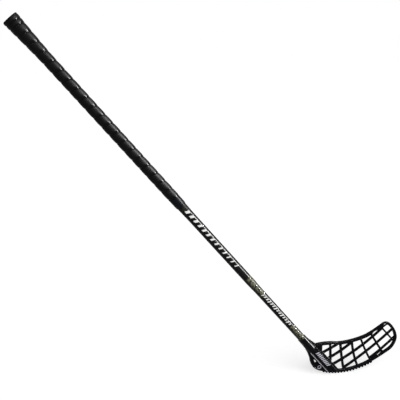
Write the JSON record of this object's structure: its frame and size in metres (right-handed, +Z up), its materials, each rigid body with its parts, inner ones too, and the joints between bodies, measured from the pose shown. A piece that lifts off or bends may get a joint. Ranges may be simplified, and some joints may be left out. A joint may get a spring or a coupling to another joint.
{
  "type": "floorball stick",
  "caption": "Floorball stick in playing position: tapered hollow shaft, tape-wound grip flared at the butt, and a hooked lattice blade with a toothed sole.",
  "frame": {"origin": "middle of the upper hand, on the axis of the shaft, 85 mm from the butt face", "axes": "+Z up, +X along the floor towards the toe of the blade, -Y out of the hollow face of the blade"},
  "size_m": [0.8911, 0.0333, 0.8609],
  "materials": {
    "shaft_lacquer": "clear gloss lacquer over black fibre composite",
    "cap_plastic": "fine-grained moulding",
    "former_foam": "closed-cell foam, covered by the tape",
    "grip_polyurethane": "matt perforated polyurethane tape",
    "finish_tape": "smooth satin tape",
    "hot_melt_glue": "clear amber film",
    "screw_steel": "zinc-plated",
    "blade_plastic": "satin moulded polyethylene"
  },
  "bodies": {
    "root": {"shaft_tube": "shaft_lacquer", "end_cap": "cap_plastic", "knob_former": "former_foam", "grip_tape": "grip_polyurethane", "finishing_tape": "finish_tape", "hot_melt": "hot_melt_glue", "blade_screw": "screw_steel", "blade": "blade_plastic"}
  },
  "joints": []
}
